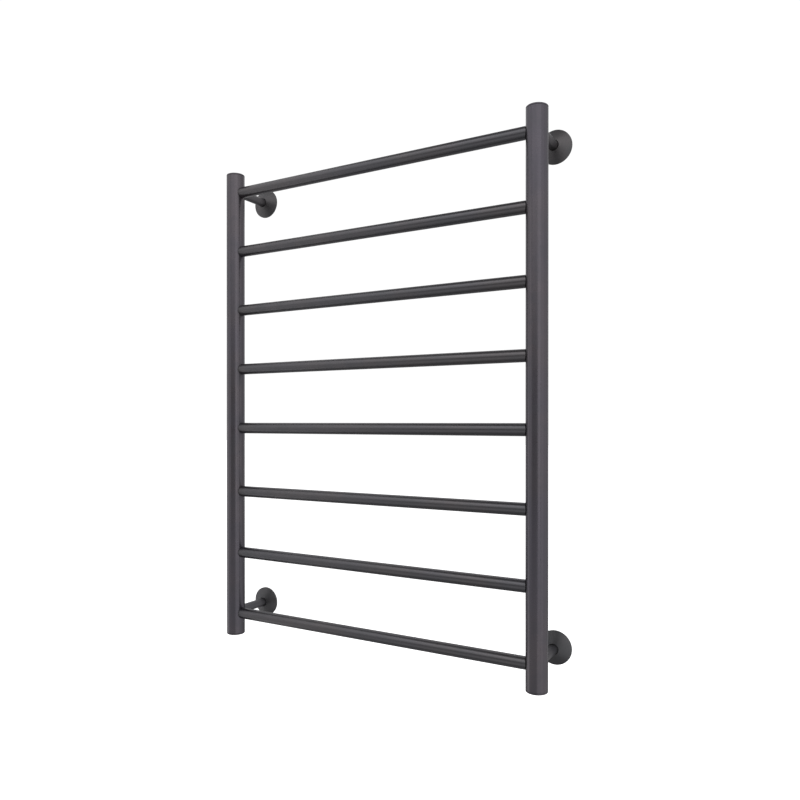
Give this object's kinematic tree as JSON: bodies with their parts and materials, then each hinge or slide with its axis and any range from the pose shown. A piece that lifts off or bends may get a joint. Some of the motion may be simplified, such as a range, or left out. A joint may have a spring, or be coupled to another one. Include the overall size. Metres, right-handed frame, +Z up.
{
  "type": "towel warmer rack",
  "caption": "Wall-hung electric towel warmer: a ladder of round bars welded between round uprights, on bracket arms with sliding conical rosettes.",
  "frame": {"origin": "on the wall plane, at the centre of the four wall fixings", "axes": "+X along the crossbars, +Y into the wall, +Z up"},
  "size_m": [0.62, 0.101, 0.83],
  "materials": {
    "gunmetal_tube": "satin gunmetal grey coating on stainless steel",
    "zinc_plate": "bright zinc plated steel",
    "black_steel": "black oxide steel",
    "black_rubber": "matt black rubber",
    "red_silicone": "red silicone sheath",
    "white_ceramic": "off-white thermoplastic sleeve"
  },
  "bodies": {
    "rail": {"left_upright": "gunmetal_tube", "right_upright": "gunmetal_tube", "crossbar_1": "gunmetal_tube", "crossbar_2": "gunmetal_tube", "crossbar_3": "gunmetal_tube", "crossbar_4": "gunmetal_tube", "crossbar_5": "gunmetal_tube", "crossbar_6": "gunmetal_tube", "crossbar_7": "gunmetal_tube", "crossbar_8": "gunmetal_tube", "upper_left_end_cap": "gunmetal_tube", "upper_right_end_cap": "gunmetal_tube", "lower_left_end_cap": "gunmetal_tube", "lower_right_end_cap": "gunmetal_tube", "upper_left_arm": "gunmetal_tube", "upper_left_wall_plate": "zinc_plate", "upper_left_grub_screw": "black_steel", "upper_right_arm": "gunmetal_tube", "upper_right_wall_plate": "zinc_plate", "upper_right_grub_screw": "black_steel", "lower_left_arm": "gunmetal_tube", "lower_left_wall_plate": "zinc_plate", "lower_left_grub_screw": "black_steel", "lower_right_arm": "gunmetal_tube", "lower_right_wall_plate": "zinc_plate", "lower_right_grub_screw": "black_steel", "heating_cable": "red_silicone", "cable_splice": "red_silicone", "thermal_limiter": "white_ceramic", "cable_grommet": "black_rubber"},
    "rosette_upper_left": {"upper_left_rosette": "gunmetal_tube", "upper_left_rosette_ring": "black_rubber"},
    "rosette_upper_right": {"upper_right_rosette": "gunmetal_tube", "upper_right_rosette_ring": "black_rubber"},
    "rosette_lower_left": {"lower_left_rosette": "gunmetal_tube", "lower_left_rosette_ring": "black_rubber"},
    "rosette_lower_right": {"lower_right_rosette": "gunmetal_tube", "lower_right_rosette_ring": "black_rubber"}
  },
  "joints": [
    {"name": "upper_left_rosette_slide", "type": "slide", "parent": "rail", "child": "rosette_upper_left", "axis": [0, -1, 0], "range_m": [0, 0.055]},
    {"name": "upper_right_rosette_slide", "type": "slide", "parent": "rail", "child": "rosette_upper_right", "axis": [0, -1, 0], "range_m": [0, 0.055]},
    {"name": "lower_left_rosette_slide", "type": "slide", "parent": "rail", "child": "rosette_lower_left", "axis": [0, -1, 0], "range_m": [0, 0.055]},
    {"name": "lower_right_rosette_slide", "type": "slide", "parent": "rail", "child": "rosette_lower_right", "axis": [0, -1, 0], "range_m": [0, 0.055]}
  ]
}
